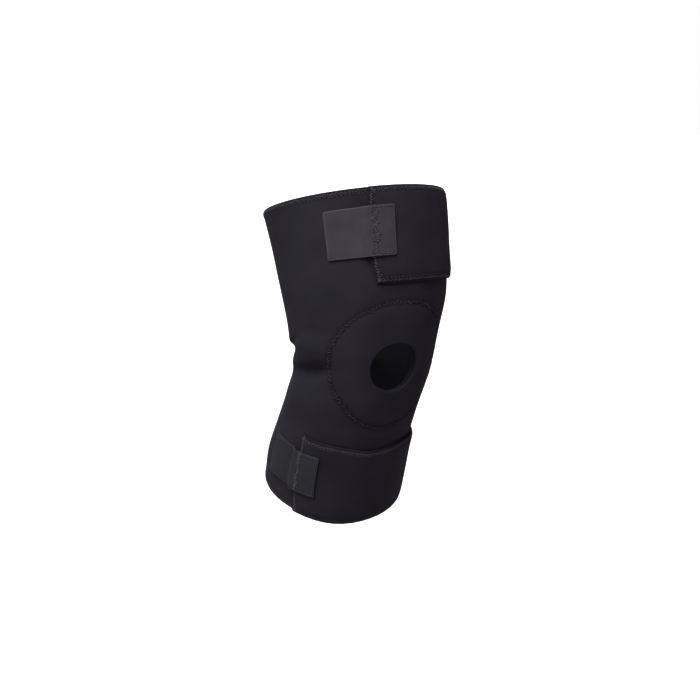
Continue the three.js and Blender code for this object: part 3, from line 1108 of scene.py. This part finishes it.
upper_outer, upper_inner = flap_layers(UPPER)
lower_outer, lower_inner = flap_layers(LOWER)
print("the top rim is walked in", len(walk([(-BACK_SEAM, TOP), (BACK_SEAM, TOP)], 1.5)[0]), "steps")

# %% [markdown]
# The rims and the flaps' free edges are closed with an overlock. Its loops run from a needle line 5 mm in
# to the cut edge and back, and more loops cross the edge itself. Real stitches are never quite even, so
# the needle line and the edge line waver a little, from a seeded random draw.

# %% Overlock edges
OVERLOCK_WIDE, OVERLOCK_NARROW, OVERLOCK_PITCH = 5.0, 0.9, 3.0
OVERLOCK_RADIUS = 0.42 * MM
NEEDLE_WAVER, EDGE_WAVER = 0.3, 0.15


def overlock(rule, under, edge_line):
    """Arches of an overlock along an edge. The cloth lies to the left of the line."""
    line, ahead = walk(edge_line, OVERLOCK_PITCH / 2)
    inward = left_of(ahead)
    deep = line + inward * OVERLOCK_WIDE
    shallow = line + inward * OVERLOCK_NARROW
    rng = np.random.default_rng(len(line))
    deep = deep + rng.normal(0, NEEDLE_WAVER, deep.shape)
    shallow = shallow + rng.normal(0, EDGE_WAVER, shallow.shape)
    a, up_a = on_surface(rule, deep[:, 0], deep[:, 1])
    b, _ = on_surface(rule, shallow[:, 0], shallow[:, 1])
    low, _ = on_surface(under, shallow[:, 0], shallow[:, 1])
    out = line - inward
    beyond, _ = on_surface(rule, out[:, 0], out[:, 1])
    arches = []
    for k in range(0, len(line) - 1, 2):
        after = min(k + 2, len(line) - 1)
        arches.append((a[k], b[k + 1], up_a[k], OVERLOCK_RADIUS))
        arches.append((b[k + 1], a[after], up_a[k], OVERLOCK_RADIUS * 0.8))
        arches.append((a[k], a[after], up_a[k], OVERLOCK_RADIUS * 0.9))
        arches.append((b[k + 1], low[k + 1], beyond[k + 1] - b[k + 1], OVERLOCK_RADIUS))
    return arches


def flap_outline(flap):
    """The free edges of a flap with the cloth on the left, from the root round the free end."""
    ys = np.linspace(flap["low"], flap["high"], 60)
    ends = x_of(flap["end"]) + slant_of(flap, ys)
    root = x_of(flap["root"])
    tall = high_at(flap, ends[-1]) - flap["low"]
    xs = np.linspace(ends[-1], root, 120)[1:]
    free_end = zip(ends, flap["low"] + (ys - flap["low"]) * tall / (ys[-1] - ys[0]))
    return [(root, flap["low"])] + list(free_end) + list(zip(xs, high_at(flap, xs)))


rim_x = np.linspace(-BACK_SEAM, BACK_SEAM, 200)
top_rim = overlock(body_outer, body_inner, [(x, TOP) for x in rim_x[::-1]])
bottom_rim = overlock(body_outer, body_inner, [(x, BOTTOM) for x in rim_x])
rim_thread = sew("rim_overlock", top_rim + bottom_rim, thread)
upper_loops = overlock(upper_outer, upper_inner, flap_outline(UPPER))
lower_loops = overlock(lower_outer, lower_inner, flap_outline(LOWER))
upper_thread = sew("upper_flap_overlock", upper_loops, thread)
lower_thread = sew("lower_flap_overlock", lower_loops, thread)

# %% [markdown]
# The ring is held by a zigzag nearly 6 mm wide, which follows its worn outline. A zigzag stretches with the
# cloth, where a straight row would break, so it is the usual stitch for a knee.

# %% Zigzag round the ring
ZIGZAG_PITCH, ZIGZAG_WIDE, ZIGZAG_WAVER = 4.4, 5.6, 0.7
THREAD_RADIUS = 0.38 * MM


def stitches(rule, line):
    """One arch from each point of a line to the next."""
    points, ups = on_surface(rule, line[:, 0], line[:, 1])
    return [(points[k], points[k + 1], ups[k], THREAD_RADIUS) for k in range(len(points) - 1)]


def zigzag_seam(rule, corners, wide, pitch):
    line, ahead = walk(corners, pitch / 2)
    swing = np.where(np.arange(len(line)) % 2 == 0, 1, -1)[:, None] * wide / 2
    uneven = np.random.default_rng(len(line)).normal(0, ZIGZAG_WAVER, line.shape)
    uneven[-1] = uneven[0]
    return stitches(rule, line + left_of(ahead) * swing + uneven)


angles = np.linspace(-np.pi, np.pi, 400)
worn_radius = RING_RADIUS - ring_flat(angles)
circle = np.stack([worn_radius * np.cos(angles), worn_radius * np.sin(angles)], -1)
ring_seam = zigzag_seam(body_outer, circle, ZIGZAG_WIDE, ZIGZAG_PITCH)
ring_thread = sew("ring_zigzag", ring_seam, ring_yarn)

# %% [markdown]
# Each tab is held by a plain lockstitch round its sewn part and a close zigzag over the flap's edge. Two
# rows of lockstitch hold the root of each flap.

# %% Lockstitch
LOCK_PITCH = 2.6
LOCK_INSET, LOCK_TO_EDGE = 2, 2.5
RIDGE_INSET, RIDGE_WIDE, RIDGE_PITCH = 4.4, 5.5, 3.4
ROOT_ROWS = (4, 9)


def lockstitch(rule, corners):
    return stitches(rule, walk(corners, LOCK_PITCH)[0])


def tab_seams(tab):
    start, edge, _ = tab_span(tab)
    rule = tab_layer(tab, TAB_WALL)

    def at(x, y):
        return x + float(slant_of(tab["flap"], y)), y

    low, high = tab["low"] + LOCK_INSET, tab["high"] - LOCK_INSET
    left, right = start + LOCK_INSET, edge - LOCK_TO_EDGE
    box = [at(right, low), at(left, low), at(left, high), at(right, high), at(right, low)]
    ridge = [at(edge - RIDGE_INSET, tab["low"] + 1), at(edge - RIDGE_INSET, tab["high"] - 1)]
    return lockstitch(rule, box) + zigzag_seam(rule, ridge, RIDGE_WIDE, RIDGE_PITCH)


tab_thread = sew("tab_lockstitch", tab_seams(UPPER_TAB) + tab_seams(LOWER_TAB), tape_thread)


def root_seams(flap, rule):
    """Two rows that sew a flap's root to the body."""
    root = x_of(flap["root"])
    rows = [[(root + inset, flap["low"] + 1), (root + inset, flap["high"] - 6)] for inset in ROOT_ROWS]
    return [stitch for row in rows for stitch in lockstitch(rule, row)]


root_rows = root_seams(UPPER, upper_outer) + root_seams(LOWER, lower_outer)
root_thread = sew("root_lockstitch", root_rows, thread)

# %% [markdown]
# Every piece rides on the one body that the packed part has and stands for its CAD node, which is hidden.

# %% Frame calls
for piece in [sleeve, pad, upper_flap, lower_flap, upper_tab, lower_tab]:
    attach(piece, "root")
for piece in [rim_thread, upper_thread, lower_thread, ring_thread, tab_thread, root_thread]:
    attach(piece, "root")
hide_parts("sleeve_body")
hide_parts("kneecap_pad")
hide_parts("upper_flap")
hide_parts("lower_flap")
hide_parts("upper_hook_tab")
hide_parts("lower_hook_tab")

# %% [markdown]
# The floor is plain and pale, and so far below that the sleeve's soft shadow falls outside the picture.

# %% Floor
FLOOR_DROP, FLOOR_HALF = 0.9, 20
bm = bmesh.new()
bmesh.ops.create_grid(bm, x_segments=1, y_segments=1, size=FLOOR_HALF)
bmesh.ops.translate(bm, vec=(0, 0, -FLOOR_DROP), verts=bm.verts)
floor = finish_piece("floor", bm, [floor_paint])
floor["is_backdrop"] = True
print("floor", FLOOR_DROP, "m below the knee")

# %% [markdown]
# The lights are suns, which light everything alike however far it is. The wide angle of a sun makes it as
# soft as a large lamp beside the sleeve. Direction and colour are all that needs choosing then.

# %% Lights
def soft_light(name, direction, spread, strength, colour):
    """A sun that shines in a direction, with its spread in degrees."""
    light = bpy.data.objects.new(name, bpy.data.lights.new(name, "SUN"))
    bpy.context.scene.collection.objects.link(light)
    light.rotation_euler = Vector(direction).to_track_quat("-Z", "Y").to_euler()
    light.data.angle = math.radians(spread)
    light.data.energy = strength
    light.data.color = colour


soft_light("key", (0.76, 0.5, -1.3), 40, 6.9, (0.97, 1.015, 0.94))
soft_light("tint", (-0.5, 0.8, -0.2), 60, 0.36, (0.8, 0.22, 1))
soft_light("back", (-0.38, -0.92, -0.2), 30, 3.0, (1, 0.97, 1))
print("a key light from the upper left, a weak violet one in front and one behind the sleeve")

# %% [markdown]
# A white world keeps the background clean. The sleeve itself gets only a dim light from it, faintly violet,
# or its dark cloth would look grey. A gamma a little under 1 gives the picture its contrast.

# %% World
WORLD_LIGHT, GAMMA = 0.22, 0.8
world = bpy.data.worlds.new("studio")
bpy.context.scene.world = world
world.use_nodes = True
nodes, links = world.node_tree.nodes, world.node_tree.links
white = nodes["Background"]
white.inputs["Color"].default_value = (1, 1, 1, 1)
dim = nodes.new("ShaderNodeBackground")
dim.inputs["Color"].default_value = (0.93, 0.86, 1, 1)
dim.inputs["Strength"].default_value = WORLD_LIGHT
seen = nodes.new("ShaderNodeLightPath")
mix = nodes.new("ShaderNodeMixShader")
links.new(seen.outputs["Is Camera Ray"], mix.inputs[0])
links.new(dim.outputs[0], mix.inputs[1])
links.new(white.outputs[0], mix.inputs[2])
links.new(mix.outputs[0], nodes["World Output"].inputs["Surface"])
bpy.context.scene.view_settings.view_transform = "Standard"
bpy.context.scene.view_settings.gamma = GAMMA
print("gamma", GAMMA)

# %% [markdown]
# Last, the size of the dressed part is kept beside the packed part's, to compare the two.

# %% Sizes
new_low, new_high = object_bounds()
sizes = {"cad": [list(cad_box[0]), list(cad_box[1])], "visual": [list(new_low), list(new_high)]}
for end, new, old in zip(("low", "high"), sizes["visual"], sizes["cad"]):
    print(end, "end moved by mm", [round((a - b) / MM, 1) for a, b in zip(new, old)])
